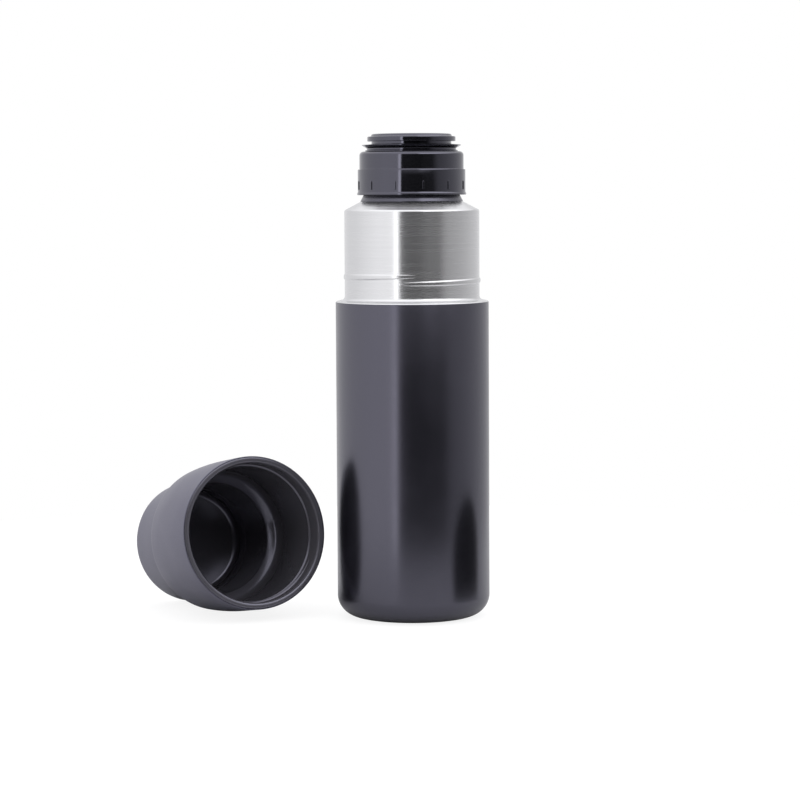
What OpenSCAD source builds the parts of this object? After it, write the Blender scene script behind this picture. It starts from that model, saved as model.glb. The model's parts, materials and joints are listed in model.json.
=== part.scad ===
// Vacuum flask with a press-to-pour screw stopper, and its drinking cup lying beside it.
// Millimetres, +Z up. The origin is on the flask's axis, on the surface that it stands on.

/* [Flask body] */
// Outer diameter of the painted body
body_d = 75; // [74:0.5:90]
// Height of the painted body's top edge
body_h = 155; // [130:1:190]
// Outer radius of the rounded foot
foot_r = 10.6; // [7:0.2:11.8]
// Height of the seam between the body tube and the base cap
foot_seam_h = 13.5; // [12.5:0.5:16]
// Thickness of the outer steel walls
steel_t = 0.5; // [0.4:0.1:0.8]
// Diameter of the rubber pad under the base
pad_d = 49.6; // [40:0.2:50]
// Thickness of the rubber pad under the base
pad_t = 1.7; // [1:0.1:2.2]

/* [Neck] */
// Outer diameter of the bare steel neck
neck_d = 66; // [64:0.5:69]
// Height of the neck, from the painted edge to the shoulder
neck_h = 44.6; // [38:0.2:56]
// Slope of the shoulder, in degrees
shoulder_slope = 28; // [24:1:32]
// Height that the rolled thread bead stands proud of the neck
bead_h = 0.5; // [0.3:0.1:0.6]
// Width of the rolled thread bead at its root
bead_w = 3.4; // [2.4:0.1:3.5]
// Number of turns of the rolled thread bead
bead_turns = 1.1; // [0.9:0.1:1.5]
// Pitch of the cup's thread
cup_pitch = 3.6; // [3:0.1:4.2]
// Number of turns of the cup's thread
cup_turns = 1.6; // [1:0.1:1.9]

/* [Inner vessel] */
// Vacuum gap between the neck and the inner vessel
vacuum_gap = 1.4; // [1.2:0.1:4]
// Thickness of the inner vessel's wall
vessel_t = 0.5; // [0.4:0.1:0.7]

/* [Mouth and screw] */
// Bore of the neck ring, between its threads
mouth_d = 39.2; // [37:0.2:40]
// Wall of the neck ring's threaded sleeve
sleeve_t = 1.1; // [0.9:0.1:1.3]
// Wall of the neck ring's outer skirt
skirt_t = 1; // [0.8:0.1:1.2]
// Rise of the stopper in one turn
screw_lead = 12; // [9:1:15]
// Number of thread starts
screw_starts = 3; // [2, 3, 4]
// Depth of the screw thread
thread_depth = 1; // [0.7:0.1:1.2]
// Clearance between the threads
thread_clear = 0.3; // [0.2:0.05:0.4]

/* [Stopper] */
// Height of the grip drum
drum_h = 21.2; // [20:0.2:26]
// Wall of the drum's upper band
drum_t = 1.25; // [1:0.05:2]
// Extra radius of the drum's lower band
band_step = 0.85; // [0.4:0.05:1.2]
// Number of small grip ribs
rib_count = 12; // [6:1:24]
// Ledge of the pouring head's flange beyond its tube
head_ledge = 1.5; // [1.3:0.1:1.9]
// Reach of the drip lip beyond the tube
lip_reach = 2.45; // [1.6:0.05:3.2]
// Distance that the ridge round the top stands inside the tube's radius
ridge_inset = 0.25; // [0:0.05:0.7]
// Diameter of the press button
button_d = 24; // [20:1:26]
// Travel of the press button
button_travel = 4; // [2:0.5:4.5]
// Length of the plug below the neck ring's top
plug_len = 48.2; // [42:0.2:56]
// Diameter of the valve stem
stem_d = 4; // [3:0.5:5]

/* [Cup] */
// Radius that the cup's shoulder loses to its crown, at the step
cup_barrel = 1.3; // [0.6:0.1:1.6]
// Length of the straight part behind the cup's mouth
cup_straight = 20; // [10:1:30]
// Wall between the cup's small inner and outer surfaces
cup_end_wall = 3.1; // [2.8:0.1:3.6]
// Corner radius of the cup's closed end
cup_corner = 6.4; // [4:0.2:8]
// Sideways gap between the lying cup and the flask's body
cup_gap = 1; // [1:1:35]
// Distance of the lying cup's mouth behind the flask's axis
cup_y = 21; // [-40:1:40]

/* [Hidden] */
$fn = 128;

fit = 0.1;           // gap between pieces that are pushed together
bevel = 0.3;         // small bevel on a moulded edge
slip = 0.06;         // radial gap of the sliding stem
embed = 0.3;         // depth that a thread ridge or a rib reaches into its wall

// Base
body_r = body_d / 2;
cap_rise = 0.4;      // height of the steel base above the table
recess_h = 2.4;      // height of the recess that holds the pad
recess_r = pad_d / 2 + 0.4;
pad_bevel = 0.4;
vent_r = 1.2;        // pump-out hole
seal_low_r = 2.4;    // solder drop that closes the pump-out hole
seal_high_r = 3;
seal_drop = 0.6;

// Neck, shoulder and mouth
neck_r = neck_d / 2;
neck_z = body_h + neck_h;
rim_rise = 2.9;      // height of the sloping rim between body and neck
rim_fillet = 2;
rim_in = 0.4;        // how far the rim starts inside the painted edge
neck_corner = 1.2;   // radius between the neck and its shoulder
bead_z = 9.4;        // height of the bead's start above the painted edge
ring_bore_r = mouth_d / 2;
sleeve_r = ring_bore_r + sleeve_t;
vessel_neck_r = sleeve_r + fit;
mouth_gap = 0.5;     // vacuum gap round the mouth
mouth_in_r = vessel_neck_r + vessel_t + mouth_gap;
mouth_out_r = mouth_in_r + steel_t;
skirt_r = mouth_out_r + fit + skirt_t;
ring_flare = 1.65;   // how far the neck ring's cone stands out at its foot
ring_cone_h = 3.4;
mouth_z = neck_z + 13.4;
ring_top_z = mouth_z + 1.6;
sleeve_len = 17;
function cone_z(r) = neck_z + (neck_r - r) * tan(shoulder_slope);

// Inner vessel
vessel_r = neck_r - steel_t - vacuum_gap - vessel_t;
vessel_seam_z = 16;
vessel_shoulder_r = 9;
vessel_shoulder_drop = 13;  // height of the shoulder arc's centre below the seat
throat_h = 2.3;      // straight throat below the seat
lip_depth = 1.2;     // joint of the two vessels at the mouth
bottom_r = 6.5;      // corner radius of the inner bottom
dome_r = 8;          // flat top of the dome in the inner bottom
dome_z = vessel_seam_z - 3.5;
seat_r = ring_bore_r - 2.6;
seat_z = neck_z - 9.3;
seat_h = 6.3;

// Getter, its clip and the foil
clip_z = dome_z - vessel_t;
clip_h = 3.6;
clip_t = 0.35;
clip_foot_r = 7.5;
getter_r = 4;
getter_h = 2.4;
foil_z = 22;
foil_h = seat_z - 16 - foil_z;
foil_t = 0.15;
foil_gap = 0.05;

// Screw
ring_crest_r = ring_bore_r - thread_depth;
plug_crest_r = ring_bore_r - thread_clear;
plug_r = ring_crest_r - 0.8;
ridge_half = screw_lead / screw_starts * 0.31;
crest_half = screw_lead / screw_starts * 0.19;
ridge_turns = 10 / screw_lead;
thread_z = ring_top_z - sleeve_len + 2.2;

// Stopper
drum_z = neck_z + 7.5;
drum_top_z = drum_z + drum_h;
drum_in_r = skirt_r + 0.8;
seat_gap = 0.8;      // gap over the neck ring when the stopper is screwed down
drum_r = drum_in_r + drum_t;
band_r = drum_r + band_step;
band_h = 12.5;       // height of the drum's lower band
flare = 0.4;         // how far the band's foot flares out
drum_corner = 2;
drum_rim = 0.6;      // height of the ring that stands on the drum's top
drum_rim_w = 0.8;
rib_w = 0.9;
rib_h = 4.2;
rib_z = drum_z + 2.6;
rib_proud = 0.35;
web_t = 3.6;         // thickness of the drum's top
flange_t = 2.4;      // thickness of the flanges that lie under the drum's top
flange_r = drum_in_r - 0.9;
web_z = drum_top_z - web_t;
plug_top_z = web_z - flange_t;
plug_z = ring_top_z - plug_len;
plug_low_r = seat_r - 0.6;
plug_bore_r = plug_r - 4.2;
channel_r = 5.4;     // radius of the pouring channel
channel_wall = 1.2;
guide_z = ring_top_z - 1.6;
guide_t = 3;
groove_z = seat_z - 0.3;
gasket_h = 3;
groove_r = plug_low_r - 0.8;
groove_h = gasket_h + 2 * fit;
plug_seam_z = plug_z + 2.6;  // where the plug's foot is welded on
foot_rim_h = 2.4;    // rim of the foot that stands inside the plug
foot_rim_t = 1.3;
foot_bevel = 0.8;
spoke_t = 1.2;
seal_gap = 0.08;     // gap between gasket and seat before it is squeezed

// Pouring head
head_r = flange_r - head_ledge;
lip_r = head_r + lip_reach;
ridge_r = head_r - ridge_inset;
head_in_r = head_r - 3.8;
core_r = head_r - 2.3;
lip_low_z = drum_top_z + 1.5;
lip_top_z = lip_low_z + 2.1;
slot_h = 3;          // height of the pouring slots, which open into the dish inside the lip
slot_w = 8;
slot_count = 8;
slot_in_r = head_in_r - 0.5;
slot_out_r = head_r - 0.8;
core_h = 1.2;        // height of the narrow waist between the lip and the ridge
ridge_z = lip_top_z + core_h;
ridge_h = 2.4;
lip_rise = 1.4;      // height of the lip's sloping underside
lip_edge = 0.3;      // thickness of the lip's edge
top_z = ridge_z + 3.7;
button_r = button_d / 2;
button_gap = 0.15;
collar_t = 1.2;      // collar that guides the button
collar_depth = 1.6;
roof_t = 0.8;        // height of the waist's inside above the ridge's foot

// Button, stem and valve
button_top_z = top_z - 0.1;
skirt_over = 3.9;    // length of the button's skirt beyond its travel
button_t = 1.7;      // thickness of the button's top
button_wall = 1.2;
boss_wall = 2.5;
boss_z = button_top_z - button_travel - skirt_over;
stem_r = stem_d / 2;
seat_low_z = plug_z;
seal_t = 1.45;
disc_t = 2.2;
disc_r = 9.2;
disc_floor = 0.8;    // floor of the disc under the stem
seal_r = 8.4;
hub_r = stem_r + 0.9;
disc_top_z = seat_low_z - fit - seal_t;
wire_r = 0.5;
spring_r = stem_r + 1.6;
spring_turns = 7;

// Cup, in its own frame: the mouth at z = 0, the closed end up
cup_r = body_r;
cup_t = 0.5;         // wall of the painted shell
liner_t = 1;
cup_room = 2.5;      // room over the stopper inside the cup
cup_bore_r = neck_r + 1;
cup_crest_r = neck_r + 0.25;
cup_step_z = neck_h + 1.4;
cup_len = top_z - body_h + cup_room + liner_t + cup_t + fit;
cup_small_r = band_r + flare + 1.6;
cup_taper = 0.7;     // radius that the liner loses along its small end
cup_bend = 5;        // corner radius of the liner's floor
cup_rim_h = 2.4;
cup_thread_z = 6.6;
cup_end_r = cup_small_r + cup_end_wall;
cup_draft = 1;       // radius lost along the small end
cup_step_rise = (cup_r - cup_barrel - cup_end_r) * tan(shoulder_slope);
cup_low_r = cup_r - cup_barrel;
cup_x = -(body_r + cup_r + cup_gap);
barrel_len = cup_step_z - cup_straight;
barrel_r = (pow(barrel_len, 2) + pow(cup_barrel, 2)) / (2 * cup_barrel);
corner_z = cup_len - cup_corner;
corner_x = cup_end_r - cup_draft - cup_corner;
// The lying cup touches the table on the edge of its step and on the rounded corner of its end.
rest_dz = corner_z - cup_step_z;
rest_dx = cup_low_r - corner_x;
cup_tilt = acos(cup_corner / norm([rest_dz, rest_dx])) - atan2(rest_dz, rest_dx);
cup_lift = cup_step_z * sin(cup_tilt) + cup_low_r * cos(cup_tilt);

// Points of an arc round c, and of a sheet that follows a path at one side of it
function arc(c, r, a0, a1, n = 10) =
    [for (i = [0:n]) let (a = a0 + (a1 - a0) * i / n) c + r * [cos(a), sin(a)]];
function unit(v) = v / norm(v);
function side(a, b) = let (d = unit(b - a)) [-d[1], d[0]];
function shifted(p, i, t) = let (
    n1 = i > 0 ? side(p[i - 1], p[i]) : side(p[0], p[1]),
    n2 = i < len(p) - 1 ? side(p[i], p[i + 1]) : n1,
    m = unit(n1 + n2)) p[i] + m * t / (m * n1);
function sheet(p, t) = concat(p, [for (i = [len(p) - 1:-1:0]) shifted(p, i, t)]);

module turned(points) { rotate_extrude() polygon(points); }

module ring(r_in, r_out, z, h) {
    translate([0, 0, z]) difference() {
        cylinder(r = r_out, h = h);
        translate([0, 0, -1]) cylinder(r = r_in, h = h + 2);
    }
}

// One helical thread ridge with a trapezoid section that runs out at both ends.
// It stands out of a wall of radius root to radius crest, which may be inside or outside.
module thread_ridge(root, crest, half_root, half_crest, lead, turns, start = 0) {
    steps = ceil(turns * 40);
    fade = 4;
    way = sign(crest - root);
    function reach(i) = min(1, (i + 0.2) / fade, (steps - i + 0.2) / fade);
    function section(i) = let (
        r0 = root - way * embed, r1 = root + (crest - root) * reach(i),
        h1 = half_crest + (half_root - half_crest) * (1 - reach(i)) / 2)
        way > 0 ? [[r0, -half_root], [r1, -h1], [r1, h1], [r0, half_root]]
                : [[r1, -h1], [r0, -half_root], [r0, half_root], [r1, h1]];
    points = [for (i = [0:steps], p = section(i)) let (a = start + 360 * turns * i / steps)
        [p[0] * cos(a), p[0] * sin(a), p[1] + lead * turns * i / steps]];
    walls = [for (i = [0:steps - 1], k = [0:3]) let (b = 4 * i, n = (k + 1) % 4)
        [b + k, b + n, b + 4 + n, b + 4 + k]];
    last = 4 * steps;
    polyhedron(points, concat(walls, [[3, 2, 1, 0]], [[last, last + 1, last + 2, last + 3]]),
        convexity = 6);
}

module outer_shell() {
    color([0.10, 0.10, 0.12]) ring(body_r - steel_t, body_r, foot_seam_h, body_h - foot_seam_h);
}

module neck_shell() {
    path = concat(
        [[body_r - fit, body_h], [body_r - rim_in, body_h + rim_in]],
        arc([neck_r + rim_fillet, body_h + rim_rise], rim_fillet, -90, -180, 6),
        arc([neck_r - neck_corner, neck_z - neck_corner / 2], neck_corner, 0,
            90 - shoulder_slope, 5),
        [[mouth_out_r, cone_z(mouth_out_r)], [mouth_out_r, mouth_z]]);
    color([0.75, 0.75, 0.77]) {
        // its lower edge stands on the top of the painted tube
        difference() {
            turned(sheet(path, steel_t));
            ring(body_r - steel_t, body_r + 1, body_h - rim_rise, rim_rise);
        }
        translate([0, 0, body_h + bead_z])
            thread_ridge(neck_r, neck_r + bead_h, bead_w / 2, bead_w / 4,
                cup_pitch, bead_turns, 222);
    }
}

module base_cap() {
    path = concat(
        [[body_r, foot_seam_h]],
        arc([body_r - foot_r, cap_rise + foot_r], foot_r, 0, -90, 14),
        [[recess_r, cap_rise], [recess_r, recess_h], [vent_r, recess_h]]);
    color([0.10, 0.10, 0.12]) turned(sheet(path, -steel_t));
}

module base_pad() {
    color([0.08, 0.08, 0.08])
        turned([[0, 0], [pad_d / 2 - pad_bevel, 0], [pad_d / 2, pad_bevel], [pad_d / 2, pad_t],
            [0, pad_t]]);
}

module vacuum_seal() {
    color([0.6, 0.6, 0.62]) {
        translate([0, 0, recess_h - seal_drop])
            cylinder(r1 = seal_low_r, r2 = seal_high_r, h = seal_drop);
        translate([0, 0, recess_h]) cylinder(r = vent_r - fit / 2, h = steel_t);
    }
}

module inner_vessel() {
    path = concat(
        [[vessel_neck_r, mouth_z], [vessel_neck_r, seat_z + seat_h], [seat_r, seat_z],
         [seat_r, seat_z - throat_h]],
        arc([vessel_r - vessel_shoulder_r, seat_z - vessel_shoulder_drop], vessel_shoulder_r,
            72, 0, 8),
        [[vessel_r, vessel_seam_z]]);
    color([0.8, 0.8, 0.82]) {
        turned(sheet(path, vessel_t));
        ring(vessel_neck_r + fit, mouth_in_r, mouth_z - lip_depth, lip_depth);
    }
}

module inner_bottom() {
    path = concat(
        arc([vessel_r - bottom_r, vessel_seam_z], bottom_r, 0, -90, 8),
        [[dome_r, dome_z], [0, dome_z]]);
    under = concat(
        arc([vessel_r - bottom_r, vessel_seam_z], bottom_r + vessel_t, 0, -90, 8),
        [[dome_r, dome_z - vessel_t], [0, dome_z - vessel_t]]);
    color([0.8, 0.8, 0.82])
        turned(concat(path, [for (i = [len(under) - 1:-1:0]) under[i]]));
}

module neck_ring() {
    foot_r = skirt_r + ring_flare;
    color([0.06, 0.06, 0.07]) {
        turned([
            [foot_r, cone_z(foot_r) + fit], [skirt_r, cone_z(foot_r) + fit + ring_cone_h],
            [skirt_r, ring_top_z - bevel], [skirt_r - bevel, ring_top_z],
            [ring_bore_r + bevel, ring_top_z], [ring_bore_r, ring_top_z - bevel],
            [ring_bore_r, ring_top_z - sleeve_len], [sleeve_r, ring_top_z - sleeve_len],
            [sleeve_r, mouth_z + fit], [mouth_out_r + fit, mouth_z + fit],
            [mouth_out_r + fit, cone_z(mouth_out_r) + fit]]);
        for (i = [0:screw_starts - 1])
            translate([0, 0, thread_z])
                thread_ridge(ring_bore_r, ring_crest_r, ridge_half, crest_half,
                    screw_lead, ridge_turns, i * 360 / screw_starts);
    }
}

module radiation_foil() {
    color([0.8, 0.8, 0.82])
        ring(vessel_r + vessel_t + foil_gap, vessel_r + vessel_t + foil_gap + foil_t,
            foil_z, foil_h);
}

module getter() {
    color([0.35, 0.35, 0.37])
        translate([0, 0, clip_z - clip_h + clip_t + 0.05]) cylinder(r = getter_r, h = getter_h);
}

module getter_clip() {
    in_r = getter_r + fit;
    hook_r = getter_r - 1.5;
    low = clip_z - clip_h;
    color([0.7, 0.7, 0.72])
        turned([[hook_r, low], [in_r + clip_t, low], [in_r + clip_t, clip_z - clip_t],
            [clip_foot_r, clip_z - clip_t], [clip_foot_r, clip_z], [in_r, clip_z],
            [in_r, low + clip_t], [hook_r, low + clip_t]]);
}

module stopper_drum() {
    step_z = drum_z + band_h;
    color([0.04, 0.04, 0.05]) {
        turned(concat(
            [[drum_in_r, drum_z], [band_r + fit, drum_z], [band_r + flare, drum_z + flare],
             [band_r + flare, drum_z + 2 * flare], [band_r, drum_z + 3.5 * flare],
             [band_r, step_z - bevel], [band_r - bevel, step_z], [drum_r, step_z]],
            arc([drum_r - drum_corner, drum_top_z - drum_corner], drum_corner, 0, 90, 8),
            [[head_r + fit + drum_rim_w, drum_top_z],
             [head_r + fit + drum_rim_w, drum_top_z + drum_rim],
             [head_r + fit, drum_top_z + drum_rim], [head_r + fit, web_z],
             [flange_r + fit, web_z], [flange_r + fit, ring_top_z + seat_gap + 1],
             [drum_in_r, ring_top_z + seat_gap]]));
        for (i = [0:rib_count - 1])
            rotate((i + 0.5) * 360 / rib_count)
                translate([band_r - embed, -rib_w / 2, rib_z])
                    cube([embed + rib_proud, rib_w, rib_h]);
    }
}

module stopper_plug() {
    core = plug_top_z - flange_t;
    difference() {
        color([0.12, 0.12, 0.13]) union() {
            turned([
                [plug_bore_r, plug_seam_z], [plug_low_r, plug_seam_z], [plug_low_r, groove_z],
                [groove_r, groove_z], [groove_r, groove_z + groove_h],
                [plug_r, groove_z + groove_h], [plug_r, core], [flange_r, core],
                [flange_r, plug_top_z], [plug_bore_r, plug_top_z]]);
            for (i = [0:screw_starts - 1])
                translate([0, 0, thread_z])
                    thread_ridge(plug_r, plug_crest_r, ridge_half, crest_half,
                        screw_lead, ridge_turns, (i + 0.5) * 360 / screw_starts);
            ring(channel_r, channel_r + channel_wall, plug_seam_z, guide_z + guide_t - plug_seam_z);
            ring(channel_r + channel_wall / 2, plug_bore_r + 0.5, guide_z, guide_t);
            translate([0, 0, guide_z]) cylinder(r = stem_r + channel_wall, h = guide_t);
            for (i = [0:2])
                rotate(i * 120) translate([0, -spoke_t / 2, guide_z])
                    cube([channel_r + 0.5, spoke_t, guide_t]);
        }
        translate([0, 0, guide_z - 1]) cylinder(r = stem_r + slip, h = guide_t + 2);
    }
}

module plug_foam() {
    foam_z = plug_seam_z + foot_rim_h + 2 * fit;
    color([0.9, 0.9, 0.85])
        ring(channel_r + channel_wall + fit, plug_bore_r - fit, foam_z, guide_z - foam_z - fit);
}

module plug_base() {
    color([0.12, 0.12, 0.13])
        turned([[channel_r, plug_z], [plug_low_r - foot_bevel, plug_z],
            [plug_low_r, plug_z + foot_bevel], [plug_low_r, plug_seam_z],
            [plug_bore_r - fit, plug_seam_z], [plug_bore_r - fit, plug_seam_z + foot_rim_h],
            [plug_bore_r - fit - foot_rim_t, plug_seam_z + foot_rim_h],
            [plug_bore_r - fit - foot_rim_t, plug_seam_z], [channel_r, plug_seam_z]]);
}

module stopper_gasket() {
    slope = (vessel_neck_r - seat_r) / seat_h;
    low = groove_z + fit;
    high = groove_z + gasket_h + fit;
    out_r = ring_crest_r - 0.3;
    out_z = seat_z + (out_r + seal_gap - seat_r) / slope;
    color([0.55, 0.55, 0.57])
        turned([[groove_r + fit, low], [seat_r - seal_gap - 0.1, low], [seat_r - seal_gap, seat_z],
            [out_r, out_z], [out_r, high], [groove_r + fit, high]]);
}

module spout_head() {
    hole_r = button_r + button_gap;
    color([0.04, 0.04, 0.05]) difference() {
        turned([
            [head_in_r, plug_top_z], [flange_r, plug_top_z], [flange_r, web_z], [head_r, web_z],
            [head_r, lip_low_z], [lip_r, lip_low_z + lip_rise],
            [lip_r - 0.2, lip_low_z + lip_rise + lip_edge],
            [core_r, lip_top_z], [core_r, ridge_z], [ridge_r - bevel, ridge_z],
            [ridge_r, ridge_z + bevel], [ridge_r, ridge_z + ridge_h - bevel],
            [ridge_r - bevel, ridge_z + ridge_h], [ridge_r - 1.4, ridge_z + ridge_h],
            [ridge_r - 1.8, ridge_z + ridge_h + 0.8], [ridge_r - 2.9, top_z],
            [hole_r + 0.4, top_z], [hole_r, top_z - 0.4], [hole_r, ridge_z - collar_depth],
            [hole_r + collar_t, ridge_z - collar_depth], [hole_r + collar_t, ridge_z + roof_t],
            [head_in_r, ridge_z + roof_t]]);
        for (i = [0:slot_count - 1])
            rotate(i * 360 / slot_count)
                translate([slot_in_r, -slot_w / 2, lip_top_z - slot_h])
                    cube([slot_out_r - slot_in_r, slot_w, slot_h]);
    }
}

module press_button() {
    color([0.05, 0.05, 0.06]) turned([
        [0, button_top_z - button_t], [stem_r, button_top_z - button_t], [stem_r, boss_z],
        [stem_r + boss_wall, boss_z], [stem_r + boss_wall, button_top_z - button_t],
        [button_r - button_wall, button_top_z - button_t], [button_r - button_wall, boss_z + 1],
        [button_r, boss_z + 1],
        [button_r, button_top_z - 0.5], [button_r - 0.5, button_top_z],
        [button_r - 3, button_top_z - 0.3], [0, button_top_z - 0.5]]);
}

module button_spring() {
    low = guide_z + guide_t + wire_r;
    high = boss_z - wire_r;
    sides = 6;
    per_turn = 20;
    steps = spring_turns * per_turn;
    function place(i) = let (a = 360 * i / per_turn)
        [spring_r * cos(a), spring_r * sin(a), low + (high - low) * i / steps];
    points = [for (i = [0:steps], k = [0:sides - 1]) let (
        a = 360 * i / per_turn, b = 360 * k / sides, c = place(i), r = wire_r * cos(b))
        [c[0] + r * cos(a), c[1] + r * sin(a), c[2] + wire_r * sin(b)]];
    walls = [for (i = [0:steps - 1], k = [0:sides - 1]) let (b = sides * i, n = (k + 1) % sides)
        [b + k, b + n, b + sides + n, b + sides + k]];
    last = sides * steps;
    color([0.7, 0.7, 0.72]) polyhedron(points, concat(walls,
        [[for (k = [0:sides - 1]) sides - 1 - k]], [[for (k = [0:sides - 1]) last + k]]),
        convexity = 10);
}

module valve_stem() {
    low = disc_top_z - disc_t + disc_floor;
    color([0.7, 0.7, 0.72])
        translate([0, 0, low]) cylinder(r = stem_r, h = button_top_z - button_t - low);
}

module valve_disc() {
    color([0.12, 0.12, 0.13]) turned([
        [0, disc_top_z - disc_t], [disc_r - foot_bevel, disc_top_z - disc_t],
        [disc_r, disc_top_z - disc_t + foot_bevel], [disc_r, disc_top_z], [hub_r, disc_top_z],
        [hub_r, disc_top_z + seal_t], [stem_r, disc_top_z + seal_t],
        [stem_r, disc_top_z - disc_t + disc_floor], [0, disc_top_z - disc_t + disc_floor]]);
}

module valve_seal() {
    color([0.55, 0.55, 0.57]) ring(hub_r, seal_r, disc_top_z, seal_t);
}

// Lays a piece of the cup on the table: mouth towards -Y, resting on crown and end
module lying() {
    translate([cup_x, cup_y, cup_lift]) rotate([-90 - cup_tilt, 0, 0]) children();
}

module cup_shell() {
    path = concat(
        [[cup_r, 0.3]],
        arc([cup_r - barrel_r, cup_straight], barrel_r, 0, asin(barrel_len / barrel_r), 8),
        [[cup_end_r, cup_step_z + cup_step_rise]]);
    color([0.36, 0.36, 0.40]) lying() turned(sheet(path, cup_t));
}

module cup_end_cap() {
    path = concat(
        [[cup_end_r, cup_step_z + cup_step_rise]],
        arc([corner_x, corner_z], cup_corner, 0, 90, 8),
        [[0, cup_len]]);
    under = concat(
        [[cup_end_r - cup_t, cup_step_z + cup_step_rise]],
        arc([corner_x, corner_z], cup_corner - cup_t, 0, 90, 8),
        [[0, cup_len - cup_t]]);
    color([0.30, 0.30, 0.34]) lying()
        turned(concat(path, [for (i = [len(under) - 1:-1:0]) under[i]]));
}

module cup_liner() {
    floor_z = cup_len - cup_t - fit;
    shoulder_z = neck_h + 0.3;
    inner_z = shoulder_z + (cup_bore_r - cup_small_r - 0.6) * tan(shoulder_slope);
    wall_z = drum_top_z - body_h - 1.6;
    corner_at = [cup_small_r - cup_taper - 1 - cup_bend, floor_z - liner_t - cup_bend];
    inside = concat(
        [[cup_bore_r, 1], [cup_bore_r, shoulder_z], [cup_small_r + 0.6, inner_z],
         [cup_small_r, inner_z + 5], [cup_small_r - cup_taper, wall_z]],
        arc(corner_at, cup_bend, 0, 90, 8),
        [[0, floor_z - liner_t]]);
    outside = concat(
        [[cup_bore_r + liner_t, cup_rim_h], [cup_bore_r + liner_t, shoulder_z + 0.2],
         [cup_small_r + 0.6 + liner_t, inner_z + 0.2], [cup_small_r + liner_t, inner_z + 5],
         [cup_small_r - cup_taper + liner_t, wall_z]],
        arc(corner_at, cup_bend + liner_t, 0, 90, 8),
        [[0, floor_z]]);
    rim_r = cup_r - cup_t - fit / 2;
    rim = [[rim_r, cup_rim_h], [rim_r, 0.2], [rim_r - 0.2, 0], [cup_bore_r + 0.9, 0]];
    color([0.05, 0.05, 0.06]) lying() {
        turned(concat(inside, [for (i = [len(outside) - 1:-1:0]) outside[i]], rim));
        translate([0, 0, cup_thread_z])
            thread_ridge(cup_bore_r, cup_crest_r, cup_pitch * 0.3, cup_pitch * 0.14,
                cup_pitch, cup_turns, 20);
    }
}

outer_shell();
neck_shell();
base_cap();
base_pad();
inner_vessel();
inner_bottom();
neck_ring();
radiation_foil();
getter();
getter_clip();
vacuum_seal();
stopper_drum();
stopper_plug();
plug_foam();
plug_base();
stopper_gasket();
spout_head();
press_button();
button_spring();
valve_stem();
valve_disc();
valve_seal();
cup_shell();
cup_liner();
cup_end_cap();
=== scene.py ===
import json
import math

import bpy
from mathutils import Matrix, Vector


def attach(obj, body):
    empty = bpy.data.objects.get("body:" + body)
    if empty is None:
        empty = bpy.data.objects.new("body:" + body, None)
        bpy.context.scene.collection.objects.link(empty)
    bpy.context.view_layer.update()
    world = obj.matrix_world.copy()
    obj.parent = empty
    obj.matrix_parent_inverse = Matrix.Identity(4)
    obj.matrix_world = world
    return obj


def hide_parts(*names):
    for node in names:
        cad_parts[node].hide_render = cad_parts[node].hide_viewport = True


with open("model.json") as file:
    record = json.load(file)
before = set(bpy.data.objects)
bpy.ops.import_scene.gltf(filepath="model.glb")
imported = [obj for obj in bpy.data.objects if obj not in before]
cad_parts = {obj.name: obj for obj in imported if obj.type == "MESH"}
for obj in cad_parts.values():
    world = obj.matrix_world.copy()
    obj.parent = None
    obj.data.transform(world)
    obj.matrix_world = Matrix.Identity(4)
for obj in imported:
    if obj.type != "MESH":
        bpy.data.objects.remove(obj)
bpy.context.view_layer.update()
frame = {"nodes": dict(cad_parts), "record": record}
print("frame loaded:", len(frame["nodes"]), "nodes")

mm = 0.001
scene = bpy.context.scene


class Field:
    # wraps a socket, so that sums on values can be written as expressions
    def __init__(self, shader, socket):
        self.shader, self.socket = shader, socket

    def combine(self, operation, first, second):
        node = self.shader.node("ShaderNodeMath", {"operation": operation}, {0: first, 1: second})
        return self.shader.out(node, 0)

    def __add__(self, other): return self.combine("ADD", self, other)
    def __radd__(self, other): return self.combine("ADD", other, self)
    def __sub__(self, other): return self.combine("SUBTRACT", self, other)
    def __rsub__(self, other): return self.combine("SUBTRACT", other, self)
    def __mul__(self, other): return self.combine("MULTIPLY", self, other)
    def __rmul__(self, other): return self.combine("MULTIPLY", other, self)
    def __pow__(self, other): return self.combine("POWER", self, other)


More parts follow.
